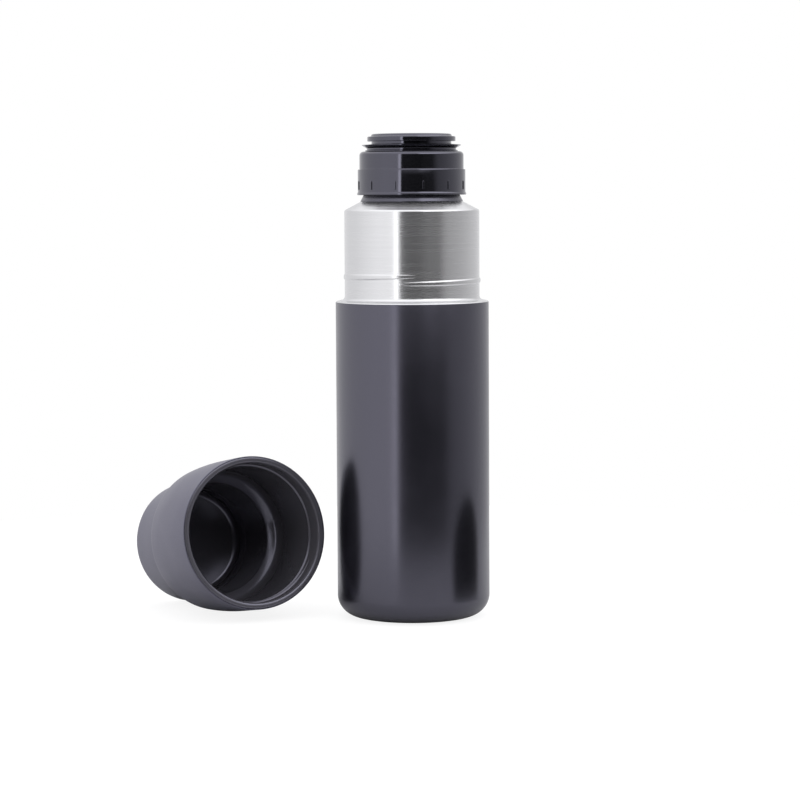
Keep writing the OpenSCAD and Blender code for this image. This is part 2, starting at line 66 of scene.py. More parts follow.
class Shader:
    def __init__(self, tree):
        self.tree = tree

    def out(self, node, socket):
        return Field(self, node.outputs[socket])

    def node(self, kind, settings=None, inputs=None):
        made = self.tree.nodes.new(kind)
        for key, value in (settings or {}).items():
            if key == "stops":
                ramp = made.color_ramp
                while len(ramp.elements) < len(value):
                    ramp.elements.new(0.5)
                for element, (place, colour) in zip(ramp.elements, value):
                    element.position, element.color = place, (*colour, 1)
            else:
                setattr(made, key, value)
        for key, value in (inputs or {}).items():
            if isinstance(value, Field):
                self.tree.links.new(value.socket, made.inputs[key])
            else:
                made.inputs[key].default_value = value
        return made

    # noise on object coordinates, stretched by scale along each axis
    def noise(self, scale, detail=2.0, roughness=0.5):
        place = self.node("ShaderNodeTexCoord")
        mapped = self.node("ShaderNodeMapping", None,
                           {"Vector": self.out(place, "Object"), "Scale": scale})
        grain = self.node("ShaderNodeTexNoise", None, {
            "Vector": self.out(mapped, 0), "Scale": 1.0, "Detail": detail, "Roughness": roughness})
        return self.out(grain, 0)

    def between(self, value, low, high, fromLow=0.3, fromHigh=0.7):
        ranged = self.node("ShaderNodeMapRange", None, {
            "Value": value, "From Min": fromLow, "From Max": fromHigh, "To Min": low, "To Max": high})
        return self.out(ranged, 0)

    def mixed(self, amount, first, second):
        mix = self.node("ShaderNodeMix", {"data_type": "RGBA"}, {0: amount})
        mix.inputs[6].default_value = (*first, 1)
        mix.inputs[7].default_value = (*second, 1)
        return Field(self, mix.outputs[2])

    def bump(self, height, distance, strength=1.0):
        return self.out(self.node("ShaderNodeBump", None, {
            "Height": height, "Distance": distance, "Strength": strength}), 0)


def newMaterial(name, constants, fields):
    material = bpy.data.materials.new(name)
    material.use_nodes = True
    shader = Shader(material.node_tree)
    surface = material.node_tree.nodes["Principled BSDF"]
    for key, value in constants.items():
        surface.inputs[key].default_value = value
    for key, value in fields(shader).items():
        material.node_tree.links.new(value.socket, surface.inputs[key])
    return material


paint = {"dark": (0.0030, 0.0030, 0.0042), "light": (0.0052, 0.0052, 0.0070),
         "roughness": (0.22, 0.27), "grain": 1500, "grainHeight": 0.006 * mm}
cupPaint = {"dark": (0.035, 0.034, 0.052), "light": (0.048, 0.047, 0.070),
            "roughness": (0.36, 0.44), "grain": 1500, "grainHeight": 0.008 * mm}
steel = {"dark": (0.58, 0.58, 0.59), "light": (0.62, 0.62, 0.63), "roughness": (0.25, 0.28),
         "lineLength": 24, "lineWidth": 4600, "lineHeight": 0.0005 * mm}
gloss = {"dark": (0.0045, 0.0045, 0.0055), "light": (0.0075, 0.0075, 0.0090),
         "roughness": (0.05, 0.10), "waves": 160, "waveHeight": 0.02 * mm}


def satinPaint(name, look):
    def fields(s):
        grain = s.noise((look["grain"],) * 3, 3)
        cloud = s.noise((28, 28, 28), 3, 0.6)
        return {"Base Color": s.mixed(s.between(grain, 0, 1), look["dark"], look["light"]),
                "Roughness": s.between(cloud, *look["roughness"]),
                "Normal": s.bump(grain, look["grainHeight"])}
    return newMaterial(name, {"IOR": 1.6, "Specular IOR Level": 1.0,
                              "Specular Tint": (0.82, 0.80, 1.0, 1)}, fields)


def brushedSteel(name, look, anisotropy=0.7):
    def fields(s):
        lines = s.noise((look["lineLength"], look["lineLength"], look["lineWidth"]), 2, 0.6)
        wide = s.noise((look["lineLength"] / 2, look["lineLength"] / 2, look["lineWidth"] / 5), 2, 0.6)
        both = lines * 0.6 + wide * 0.4
        return {"Base Color": s.mixed(s.between(both, 0, 1), look["dark"], look["light"]),
                "Roughness": s.between(both, *look["roughness"]),
                "Normal": s.bump(lines, look["lineHeight"])}
    return newMaterial(name, {"Metallic": 1.0, "Anisotropic": anisotropy,
                              "Anisotropic Rotation": 0.25}, fields)


def mouldedPlastic(name, look, level=1.0):
    def fields(s):
        waves = s.noise((look["waves"],) * 3, 2)
        specks = s.noise((2600, 2600, 2600), 2)
        return {"Base Color": s.mixed(s.between(specks, 0, 1), look["dark"], look["light"]),
                "Roughness": s.between(s.noise((60, 60, 60), 3), *look["roughness"]),
                "Normal": s.bump(waves, look["waveHeight"])}
    return newMaterial(name, {"IOR": 1.55, "Specular IOR Level": level,
                              "Specular Tint": (0.82, 0.81, 1.0, 1)}, fields)


def softGrain(name, dark, light, roughness, scale, height, metallic=0.0):
    def fields(s):
        grain = s.noise((scale,) * 3, 4, 0.6)
        return {"Base Color": s.mixed(s.between(grain, 0, 1), dark, light),
                "Roughness": s.between(s.noise((scale / 8,) * 3, 2), *roughness),
                "Normal": s.bump(grain, height)}
    return newMaterial(name, {"Metallic": metallic}, fields)


finish = {
    "body_paint": satinPaint("satinBlackPaint", paint),
    "cup_paint": satinPaint("satinGreyPaint", cupPaint),
    "neck_steel": brushedSteel("brushedNeckSteel", steel),
    "vessel_steel": brushedSteel("drawnVesselSteel", {**steel, "roughness": (0.22, 0.36)}, 0.4),
    "stopper_gloss": mouldedPlastic("glossBlackPlastic", gloss),
    "button_gloss": mouldedPlastic("glossButtonPlastic", {**gloss, "roughness": (0.08, 0.14)}),
    "liner_gloss": mouldedPlastic("glossLinerPlastic", {
        **gloss, "dark": (0.052, 0.050, 0.058), "light": (0.062, 0.060, 0.070),
        "roughness": (0.16, 0.22)}, 0.8),
    "ring_plastic": mouldedPlastic("satinRingPlastic", {
        **gloss, "dark": (0.012, 0.012, 0.013), "light": (0.018, 0.018, 0.020),
        "roughness": (0.22, 0.32)}),
    "plug_plastic": mouldedPlastic("satinPlugPlastic", {
        **gloss, "dark": (0.020, 0.020, 0.022), "light": (0.030, 0.030, 0.033),
        "roughness": (0.34, 0.42)}),
    "pad_rubber": softGrain("padRubber", (0.014, 0.014, 0.015), (0.024, 0.024, 0.025),
                            (0.6, 0.75), 1800, 0.03 * mm),
    "silicone": softGrain("greySilicone", (0.24, 0.24, 0.25), (0.30, 0.30, 0.31),
                          (0.42, 0.55), 900, 0.01 * mm),
    "foam": softGrain("insulatingFoam", (0.62, 0.58, 0.48), (0.80, 0.77, 0.68),
                      (0.8, 0.95), 1400, 0.12 * mm),
    "foil": softGrain("crinkledFoil", (0.72, 0.72, 0.73), (0.88, 0.88, 0.89),
                      (0.15, 0.3), 260, 0.15 * mm, 1.0),
    "getter_alloy": softGrain("sinteredAlloy", (0.07, 0.07, 0.075), (0.14, 0.14, 0.145),
                              (0.6, 0.8), 2400, 0.05 * mm, 0.6),
    "clip_steel": softGrain("clipSteel", (0.46, 0.46, 0.47), (0.58, 0.58, 0.59),
                            (0.28, 0.4), 700, 0.01 * mm, 1.0),
    "seal_solder": softGrain("dullSolder", (0.36, 0.36, 0.37), (0.50, 0.50, 0.50),
                             (0.4, 0.6), 900, 0.04 * mm, 1.0),
    "spring_steel": softGrain("springSteel", (0.50, 0.50, 0.51), (0.62, 0.62, 0.63),
                              (0.2, 0.32), 1200, 0.006 * mm, 1.0),
}
slotOf = {row["node"]: row["material_slot"] for row in frame["record"]["subparts"]}
for name, node in frame["nodes"].items():
    node.data.materials.clear()
    node.data.materials.append(finish[slotOf[name]])
print("finishes made")


tiny = 0.001 * mm  # a ring this small is a pole once doubles are merged


def arcPoints(centre, radius, start, end, count=10):
    return [(centre[0] + radius * math.cos(math.radians(start + (end - start) * i / count)),
             centre[1] + radius * math.sin(math.radians(start + (end - start) * i / count)))
            for i in range(count + 1)]


# closes a path into a sheet's section, with the second face at one side of the path
def sheetSection(path, thickness):
    def side(a, b):
        along = (Vector(b) - Vector(a)).normalized()
        return Vector((-along.y, along.x))
    back = []
    for i, point in enumerate(path):
        first = side(path[max(i - 1, 0)], path[max(i, 1)])
        second = side(path[min(i, len(path) - 2)], path[min(i + 1, len(path) - 1)])
        middle = (first + second).normalized()
        back.append(tuple(Vector(point) + middle * thickness / middle.dot(first)))
    return list(path) + back[::-1]


def startPiece():
    if bpy.context.object and bpy.context.object.mode != "OBJECT":
        bpy.ops.object.mode_set(mode="OBJECT")
    bpy.ops.object.select_all(action="DESELECT")


def pickPiece(piece):
    startPiece()
    piece.select_set(True)
    bpy.context.view_layer.objects.active = piece


# extrudes a ring through the section's points (radius, height in mm), and closes it on itself
# unless the section runs from pole to pole
def turnPiece(name, section, segments=160, closed=True):
    startPiece()
    rings = [(max(r * mm, tiny), z * mm) for r, z in section]
    if closed:
        rings.append(rings[0])
    radius, height = rings[0]
    bpy.ops.mesh.primitive_circle_add(vertices=segments, radius=radius, location=(0, 0, 0))
    piece = bpy.context.object
    piece.name = piece.data.name = name
    bpy.ops.object.mode_set(mode="EDIT")
    bpy.ops.transform.translate(value=(0, 0, height))
    for nextRadius, nextHeight in rings[1:]:
        bpy.ops.mesh.extrude_region_move(
            TRANSFORM_OT_translate={"value": (0, 0, nextHeight - height)})
        ratio = nextRadius / radius
        bpy.ops.transform.resize(value=(ratio, ratio, 1), center_override=(0, 0, nextHeight))
        radius, height = nextRadius, nextHeight
    bpy.ops.mesh.select_all(action="SELECT")
    bpy.ops.mesh.remove_doubles(threshold=3 * tiny)
    bpy.ops.mesh.normals_make_consistent(inside=False)
    bpy.ops.object.mode_set(mode="OBJECT")
    return piece


def applied(piece, kind, **settings):
    pickPiece(piece)
    modifier = piece.modifiers.new(kind.title(), kind)
    for key, value in settings.items():
        setattr(modifier, key, value)
    bpy.ops.object.modifier_apply(modifier=modifier.name)
    return piece


def rounded(piece, width, segments=3, angle=24):
    return applied(piece, "BEVEL", width=width * mm, segments=segments, limit_method="ANGLE",
                   angle_limit=math.radians(angle), use_clamp_overlap=True)


def pickVertices(piece, wanted):
    for vertex in piece.data.vertices:
        vertex.select = wanted(vertex)
    for edge in piece.data.edges:
        edge.select = all(piece.data.vertices[i].select for i in edge.vertices)
    for face in piece.data.polygons:
        face.select = False


ridgeRoot, ridgeEnd = 0.25, 0.12  # how deep a ridge stands in its wall, and sinks at its ends


# a helical ridge: a flat section is swept up and round, and its ends sink into the wall
def threadRidge(name, root, crest, halfRoot, halfCrest, lead, turns, base, start=0, fade=6):
    startPiece()
    way = 1 if crest > root else -1
    inner = root - way * ridgeRoot
    bpy.ops.mesh.primitive_grid_add(x_subdivisions=1, y_subdivisions=1, size=1,
                                    rotation=(math.radians(90), 0, 0))
    ridge = bpy.context.object
    ridge.name = ridge.data.name = name
    bpy.ops.object.transform_apply(location=False, rotation=True, scale=False)
    bpy.ops.object.mode_set(mode="EDIT")
    bpy.ops.transform.resize(value=(abs(crest - inner) * mm, 1, 2 * halfRoot * mm))
    bpy.ops.transform.translate(value=((inner + crest) / 2 * mm, 0, 0))
    bpy.ops.object.mode_set(mode="OBJECT")
    pickVertices(ridge, lambda vertex: abs(vertex.co.x - crest * mm) < tiny)
    bpy.ops.object.mode_set(mode="EDIT")
    bpy.ops.transform.resize(value=(1, 1, halfCrest / halfRoot), center_override=(0, 0, 0))
    bpy.ops.mesh.select_all(action="SELECT")
    bpy.ops.mesh.delete(type="ONLY_FACE")
    bpy.ops.object.mode_set(mode="OBJECT")
    count = len(ridge.data.vertices)
    steps = math.ceil(72 * turns)
    applied(ridge, "SCREW", angle=math.radians(360 * turns), screw_offset=lead * turns * mm,
            steps=steps, render_steps=steps, axis="Z", use_merge_vertices=False)
    for i in range(fade):
        share = (fade - i) / fade
        sink = (root - way * ridgeEnd) / crest * share + 1 - share
        for row in (i, steps - i):
            pickVertices(ridge, lambda vertex: row * count <= vertex.index < (row + 1) * count)
            bpy.ops.object.mode_set(mode="EDIT")
            bpy.ops.transform.resize(value=(sink, sink, 1), center_override=(0, 0, 0))
            bpy.ops.object.mode_set(mode="OBJECT")
    bpy.ops.object.mode_set(mode="EDIT")
    bpy.ops.mesh.select_all(action="SELECT")
    bpy.ops.mesh.fill_holes(sides=16)
    bpy.ops.mesh.select_all(action="SELECT")
    bpy.ops.mesh.normals_make_consistent(inside=False)
    bpy.ops.object.mode_set(mode="OBJECT")
    ridge.location = (0, 0, base * mm)
    ridge.rotation_euler = (0, 0, math.radians(start))
    bpy.ops.object.transform_apply(location=True, rotation=True, scale=False)
    return ridge


def joined(piece, extras):
    pickPiece(piece)
    for extra in extras:
        extra.select_set(True)
    bpy.ops.object.join()
    return piece


# evenly turned copies about the flask's axis, in place of the piece they are made from
def around(piece, count, start=0):
    copies = []
    for i in range(count):
        pickPiece(piece)
        bpy.ops.object.duplicate()
        other = bpy.context.object
        other.rotation_euler = (0, 0, math.radians(start + i * 360 / count))
        bpy.ops.object.transform_apply(location=False, rotation=True, scale=False)
        copies.append(other)
    bpy.data.objects.remove(piece)
    return copies


# a block of the given size in mm, its middle at a reach from the axis and at a height
def blockPiece(name, size, reach, height):
    startPiece()
    bpy.ops.mesh.primitive_cube_add(size=1, location=(0, 0, 0))
    block = bpy.context.object
    block.name = block.data.name = name
    bpy.ops.object.mode_set(mode="EDIT")
    bpy.ops.transform.resize(value=tuple(side * mm for side in size))
    bpy.ops.transform.translate(value=(reach * mm, 0, height * mm))
    bpy.ops.object.mode_set(mode="OBJECT")
    return block


def finished(piece, body, slot, *nodes, smooth=28):
    pickPiece(piece)
    bpy.ops.object.shade_smooth_by_angle(angle=math.radians(smooth))
    piece.data.materials.clear()
    piece.data.materials.append(finish[slot])
    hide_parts(*nodes)
    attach(piece, body)
    return piece


body = {"radius": 37.5, "wall": 0.5, "seam": 13.5, "top": 155.0, "foot": 10.6, "rise": 0.4,
        "recess": 25.2, "recessHeight": 2.4, "padRadius": 24.8, "padHeight": 1.7}

tube = turnPiece("bodyTube", [
    (body["radius"] - body["wall"], body["seam"]), (body["radius"], body["seam"]),
    (body["radius"], body["top"] - 0.25), (body["radius"] - 0.08, body["top"] - 0.06),
    (body["radius"] - 0.25, body["top"]), (body["radius"] - body["wall"], body["top"])], 192)
finished(tube, "flask", "body_paint", "outer_shell")

capPath = [(body["radius"], body["seam"])] + arcPoints(
    (body["radius"] - body["foot"], body["rise"] + body["foot"]), body["foot"], 0, -90, 28) + [
    (body["recess"] + 0.5, body["rise"]), (body["recess"] + 0.1, body["rise"] + 0.15),
    (body["recess"], body["rise"] + 0.6), (body["recess"], body["recessHeight"]),
    (1.2, body["recessHeight"])]
cap = turnPiece("footCap", sheetSection(capPath, -body["wall"]), 192)
finished(cap, "flask", "body_paint", "base_cap")

padEdge = [(body["padRadius"] - 0.9 + 0.9 * math.sin(math.radians(a)),
            0.45 - 0.45 * math.cos(math.radians(a))) for a in range(0, 91, 15)]
padSection = [(0, 0.25), (2.6, 0.25), (3.0, 0.0)]
for i in range(5):
    r = 6.5 + i * 3.4
    padSection += [(r, 0.0), (r + 0.25, 0.45), (r + 0.85, 0.45), (r + 1.1, 0.0)]
padSection += padEdge + [(body["padRadius"], body["padHeight"]), (0, body["padHeight"])]
pad = turnPiece("standingPad", padSection, 128, closed=False)
finished(pad, "flask", "pad_rubber", "base_pad")

neck = {"radius": 33.0, "top": 199.6, "slope": 28, "corner": 1.2, "mouthRadius": 22.3,
        "mouthTop": 213.0, "rimRise": 2.9, "wall": 0.5,
        "beadBase": 164.4, "beadHeight": 0.5, "beadWidth": 3.4, "pitch": 3.6, "turns": 1.1}


def shoulderHeight(r):
    return neck["top"] + (neck["radius"] - r) * math.tan(math.radians(neck["slope"]))


neckPath = ([(body["radius"] - 0.1, body["top"]), (body["radius"] - 0.4, body["top"] + 0.35)]
            + arcPoints((neck["radius"] + 2, body["top"] + neck["rimRise"]), 2, -90, -180, 12)
            + arcPoints((neck["radius"] - neck["corner"], neck["top"] - 0.6), neck["corner"],
                        0, 90 - neck["slope"], 8)
            + [(neck["mouthRadius"], shoulderHeight(neck["mouthRadius"])),
               (neck["mouthRadius"], neck["mouthTop"])])
shell = turnPiece("steelNeck", sheetSection(neckPath, neck["wall"]), 192)
bead = threadRidge("rolledBead", neck["radius"], neck["radius"] + neck["beadHeight"],
                   neck["beadWidth"] / 2, neck["beadWidth"] / 4, neck["pitch"], neck["turns"],
                   neck["beadBase"], 222, fade=10)
rounded(bead, 0.45, 5)
joined(shell, [bead])
finished(shell, "flask", "neck_steel", "neck_shell")

screw = {"lead": 12.0, "starts": 3, "turns": 10 / 12, "base": 199.8, "ringBore": 19.6,
         "ringCrest": 18.6, "plugRoot": 17.8, "plugCrest": 19.3, "halfRoot": 1.24, "halfCrest": 0.76}
ring = {"foot": 25.05, "skirt": 23.4, "cone": 3.4, "top": 214.6, "sleeve": 20.7, "length": 17.0}

footHeight = shoulderHeight(ring["foot"]) + 0.1
collar = turnPiece("neckRing", [
    (ring["foot"] - 0.15, footHeight), (ring["foot"], footHeight + 0.2),
    (ring["skirt"] + 0.05, footHeight + ring["cone"] - 0.1),
    (ring["skirt"], footHeight + ring["cone"] + 0.2),
    (ring["skirt"], ring["top"] - 0.3), (ring["skirt"] - 0.3, ring["top"]),
    (screw["ringBore"] + 0.3, ring["top"]), (screw["ringBore"], ring["top"] - 0.3),
    (screw["ringBore"], ring["top"] - ring["length"]),
    (ring["sleeve"], ring["top"] - ring["length"]), (ring["sleeve"], neck["mouthTop"] + 0.1),
    (neck["mouthRadius"] + 0.1, neck["mouthTop"] + 0.1),
    (neck["mouthRadius"] + 0.1, shoulderHeight(neck["mouthRadius"]) + 0.1)], 160)
rounded(collar, 0.12, 2, 40)


def screwThreads(name, root, crest, first):
    ridges = []
    for i in range(screw["starts"]):
        ridge = threadRidge(f"{name}{i}", root, crest, screw["halfRoot"], screw["halfCrest"],
                            screw["lead"], screw["turns"], screw["base"],
                            (i + first) * 360 / screw["starts"])
        ridges.append(rounded(ridge, 0.15, 2))
    return ridges


joined(collar, screwThreads("ringThread", screw["ringBore"], screw["ringCrest"], 0))
finished(collar, "flask", "ring_plastic", "neck_ring")
print("flask modelled")

drum = {"base": 207.1, "top": 228.3, "inside": 24.2, "upper": 25.45, "lower": 26.3,
        "flare": 26.7, "step": 219.6, "crown": 2.0, "web": 224.7, "head": 21.8, "flange": 23.3,
        "ribs": 12, "ribWidth": 0.9, "ribHeight": 4.2, "ribBase": 209.7, "ribProud": 0.35,
        "ribRoot": 0.3}

grip = turnPiece("gripDrum", [
    (drum["inside"], drum["base"]), (drum["lower"] + 0.15, drum["base"]),
    (drum["flare"], drum["base"] + 0.35), (drum["flare"], drum["base"] + 0.75),
    (drum["lower"] + 0.06, drum["base"] + 1.35), (drum["lower"], drum["base"] + 1.7),
    (drum["lower"], drum["step"] - 0.45), (drum["lower"] - 0.13, drum["step"] - 0.13),
    (drum["lower"] - 0.45, drum["step"]), (drum["upper"] + 0.12, drum["step"] + 0.02),
    (drum["upper"], drum["step"] + 0.2)]
    + arcPoints((drum["upper"] - drum["crown"], drum["top"] - drum["crown"]), drum["crown"],
                0, 90, 12)
    + [(drum["head"] + 1.0, drum["top"]), (drum["head"] + 0.85, drum["top"] + 0.15),
       (drum["head"] + 0.8, drum["top"] + 0.5), (drum["head"] + 0.7, drum["top"] + 0.6),
       (drum["head"] + 0.1, drum["top"] + 0.6), (drum["head"] + 0.1, drum["web"]),
       (drum["flange"] + 0.1, drum["web"]), (drum["flange"] + 0.1, ring["top"] + 1.8),
       (drum["inside"], ring["top"] + 0.8)], 192)
rib = blockPiece("gripRib", (drum["ribProud"] + drum["ribRoot"], drum["ribWidth"],
                             drum["ribHeight"]),
                 drum["lower"] + (drum["ribProud"] - drum["ribRoot"]) / 2,
                 drum["ribBase"] + drum["ribHeight"] / 2)
rounded(rib, 0.22, 3)
joined(grip, around(rib, drum["ribs"], 180 / drum["ribs"]))
finished(grip, "stopper", "stopper_gloss", "stopper_drum")

plug = {"base": 166.4, "low": 16.4, "bore": 13.6, "seam": 169.0, "groove": 190.0,
        "grooveRadius": 15.6, "gasket": 3.0, "root": 17.8, "flange": 23.3, "top": 222.3,
        "flangeHeight": 2.4, "channel": 5.4, "channelWall": 1.2, "guide": 213.0,
        "guideHeight": 3.0, "stem": 2.0, "spokes": 3, "spokeWidth": 1.2,
        "footHeight": 2.6, "spigot": 5.0, "spigotWall": 1.3}
plugBody = turnPiece("plugBody", [
    (plug["bore"], plug["seam"]), (plug["low"] - 0.1, plug["seam"]),
    (plug["low"], plug["seam"] + 0.1), (plug["low"], plug["groove"]),
    (plug["grooveRadius"], plug["groove"]),
    (plug["grooveRadius"], plug["groove"] + plug["gasket"] + 0.2),
    (plug["root"], plug["groove"] + plug["gasket"] + 0.2),
    (plug["root"], plug["top"] - plug["flangeHeight"]),
    (plug["flange"], plug["top"] - plug["flangeHeight"]), (plug["flange"], plug["top"]),
    (plug["bore"], plug["top"])], 160)
rounded(plugBody, 0.15, 2, 40)
channel = turnPiece("plugChannel", [
    (plug["channel"], plug["seam"]), (plug["channel"] + plug["channelWall"], plug["seam"]),
    (plug["channel"] + plug["channelWall"], plug["guide"]), (plug["bore"] + 0.2, plug["guide"]),
    (plug["bore"] + 0.2, plug["guide"] + plug["guideHeight"]),
    (plug["channel"], plug["guide"] + plug["guideHeight"])], 96)
guide = turnPiece("stemGuide", [
    (plug["stem"] + 0.06, plug["guide"]), (plug["stem"] + 1.2, plug["guide"]),
    (plug["stem"] + 1.2, plug["guide"] + plug["guideHeight"]),
    (plug["stem"] + 0.06, plug["guide"] + plug["guideHeight"])], 48)
spokeLength = plug["channel"] - plug["stem"] - 0.4
spoke = blockPiece("guideSpoke", (spokeLength, plug["spokeWidth"], plug["guideHeight"]),
                   plug["stem"] + 0.7 + spokeLength / 2, plug["guide"] + plug["guideHeight"] / 2)
rounded(spoke, 0.2, 2)
spokes = around(spoke, plug["spokes"])
plugThreads = screwThreads("plugThread", screw["plugRoot"], screw["plugCrest"], 0.5)
joined(plugBody, [channel, guide] + spokes + plugThreads)
finished(plugBody, "stopper", "plug_plastic", "stopper_plug")

footTop, spigotTop = plug["base"] + plug["footHeight"], plug["base"] + plug["spigot"]
spigotOut = plug["bore"] - 0.1
foot = turnPiece("plugFoot", [
    (plug["channel"] + 0.3, plug["base"]), (plug["low"] - 0.8, plug["base"]),
    (plug["low"] - 0.23, plug["base"] + 0.23), (plug["low"], plug["base"] + 0.8),
    (plug["low"], footTop - 0.1), (plug["low"] - 0.1, footTop),
    (spigotOut, footTop), (spigotOut, spigotTop), (spigotOut - plug["spigotWall"], spigotTop),
    (spigotOut - plug["spigotWall"], footTop), (plug["channel"], footTop),
    (plug["channel"], plug["base"] + 0.3)], 128)
finished(foot, "stopper", "plug_plastic", "plug_base")

seat = {"radius": 17.0, "height": 190.3, "slope": 3.8 / 6.3, "gap": 0.08, "outer": 18.3}
gasketLow, gasketHigh = plug["groove"] + 0.1, plug["groove"] + plug["gasket"] + 0.1
outHeight = seat["height"] + (seat["outer"] + seat["gap"] - seat["radius"]) / seat["slope"]
gasket = turnPiece("sealingRing", [
    (plug["grooveRadius"] + 0.1, gasketLow), (seat["radius"] - seat["gap"] - 0.1, gasketLow),
    (seat["radius"] - seat["gap"], seat["height"]), (seat["outer"], outHeight),
    (seat["outer"], outHeight + 0.08), (seat["outer"] - 0.2, outHeight + 0.2),
    (seat["outer"] - 0.2, gasketHigh - 0.2), (seat["outer"] - 0.35, gasketHigh),
    (plug["grooveRadius"] + 0.1, gasketHigh)], 160)
finished(gasket, "gasket", "silicone", "stopper_gasket")

head = {"tube": 21.8, "inside": 18.0, "core": 19.5, "lip": 24.25, "lipLow": 229.8,
        "lipTop": 231.9, "slots": 8, "slotWidth": 8.0, "slotHeight": 3.0, "slotIn": 16.8,
        "slotOut": 21.0, "ridge": 21.55, "ridgeBase": 233.1, "ridgeHeight": 2.4, "top": 236.8,
        "hole": 12.15, "skirtWall": 1.2}
ridgeTop = head["ridgeBase"] + head["ridgeHeight"]
skirtLow, springRoom = head["ridgeBase"] - 1.6, head["ridgeBase"] + 0.8
spout = turnPiece("spoutHead", [
    (head["inside"], plug["top"]), (plug["flange"], plug["top"]), (plug["flange"], drum["web"]),
    (head["tube"], drum["web"]), (head["tube"], head["lipLow"] - 0.3),
    (head["tube"] + 0.12, head["lipLow"] + 0.02), (head["lip"] - 0.5, head["lipLow"] + 1.08),
    (head["lip"], head["lipLow"] + 1.4), (head["lip"] - 0.03, head["lipLow"] + 1.6),
    (head["lip"] - 0.25, head["lipLow"] + 1.7), (head["core"] + 0.6, head["lipTop"] - 0.12),
    (head["core"], head["lipTop"]), (head["core"], head["ridgeBase"]),
    (head["ridge"] - 0.35, head["ridgeBase"]), (head["ridge"] - 0.1, head["ridgeBase"] + 0.1),
    (head["ridge"], head["ridgeBase"] + 0.35), (head["ridge"], ridgeTop - 0.4),
    (head["ridge"] - 0.12, ridgeTop - 0.12), (head["ridge"] - 0.4, ridgeTop),
    (head["ridge"] - 1.4, ridgeTop), (head["ridge"] - 1.75, ridgeTop + 0.25),
    (head["ridge"] - 1.95, ridgeTop + 0.75), (head["ridge"] - 2.25, ridgeTop + 1.1),
    (head["ridge"] - 2.9, head["top"]), (head["hole"] + 0.4, head["top"]),
    (head["hole"] + 0.1, head["top"] - 0.1), (head["hole"], head["top"] - 0.4),
    (head["hole"], skirtLow), (head["hole"] + head["skirtWall"], skirtLow),
    (head["hole"] + head["skirtWall"], springRoom), (head["inside"], springRoom)], 192)
# pouring slots that open into the dish inside the lip
cutter = blockPiece("slotCutter", (head["slotOut"] - head["slotIn"], head["slotWidth"],
                                   head["slotHeight"]),
                    (head["slotOut"] + head["slotIn"]) / 2,
                    head["lipTop"] - head["slotHeight"] / 2 - 0.01)
rounded(cutter, 0.6, 3)
cutters = around(cutter, head["slots"])
slots = joined(cutters[0], cutters[1:])
applied(spout, "BOOLEAN", operation="DIFFERENCE", solver="EXACT", object=slots)
bpy.data.objects.remove(slots)
finished(spout, "stopper", "stopper_gloss", "spout_head")

# each ridge of the button's dish is a radius and the dish's depth outside and inside it
button = {"radius": 12.0, "top": 236.7, "boss": 228.8, "bossWall": 2.5, "stem": 2.0,
          "plate": 1.7, "skirtWall": 1.2, "ridges": ((7.75, 0.45, 0.50), (5.35, 0.52, 0.56)),
          "ridgeHeight": 0.25, "ridgeTop": 0.25, "ridgeFoot": 0.55, "dish": 0.6}
plateLow, skirtBase = button["top"] - button["plate"], button["boss"] + 1
buttonSection = [
    (button["stem"], plateLow), (button["stem"], button["boss"]),
    (button["stem"] + button["bossWall"], button["boss"]),
    (button["stem"] + button["bossWall"], plateLow),
    (button["radius"] - button["skirtWall"], plateLow),
    (button["radius"] - button["skirtWall"], skirtBase),
    (button["radius"], skirtBase), (button["radius"], button["top"] - 0.5),
    (button["radius"] - 0.15, button["top"] - 0.15), (button["radius"] - 0.5, button["top"]),
    (button["radius"] - 1.6, button["top"] - 0.02), (button["radius"] - 2.2, button["top"] - 0.35)]
for radius, outside, inside in button["ridges"]:
    crest = button["top"] - outside + button["ridgeHeight"]
    buttonSection += [(radius + button["ridgeFoot"], button["top"] - outside),
                      (radius + button["ridgeTop"], crest), (radius - button["ridgeTop"], crest),
                      (radius - button["ridgeFoot"], button["top"] - inside)]
press = turnPiece("pressButton", buttonSection + [(0, button["top"] - button["dish"]),
                                                  (0, plateLow)], 128)
finished(press, "button", "button_gloss", "press_button")
print("stopper modelled")

# the cup is made upright on the flask's axis and then laid on the table
cup = {"x": -76.0, "y": 21.0, "radius": 37.5, "wall": 0.5, "liner": 1.0, "bore": 34.0,
       "crest": 33.25, "straight": 20.0, "crown": 1.3, "step": 46.0, "end": 31.4, "length": 85.9,
       "corner": 6.4, "draft": 1.0, "slope": 28, "shoulder": 44.9, "small": 28.3,
       "threadBase": 6.6, "pitch": 3.6, "turns": 1.6}
lowRadius = cup["radius"] - cup["crown"]
cornerX, cornerZ = cup["end"] - cup["draft"] - cup["corner"], cup["length"] - cup["corner"]
restAlong, restAcross = cornerZ - cup["step"], lowRadius - cornerX
cupTilt = math.acos(cup["corner"] / math.hypot(restAlong, restAcross)) - math.atan2(
    restAlong, restAcross)
cupLift = cup["step"] * math.sin(cupTilt) + lowRadius * math.cos(cupTilt)
lying = (Matrix.Translation((cup["x"] * mm, cup["y"] * mm, cupLift * mm))
         @ Matrix.Rotation(math.radians(-90) - cupTilt, 4, "X"))


def laid(piece):
    pickPiece(piece)
    piece.matrix_world = lying
    bpy.ops.object.transform_apply(location=True, rotation=True, scale=False)
    return piece


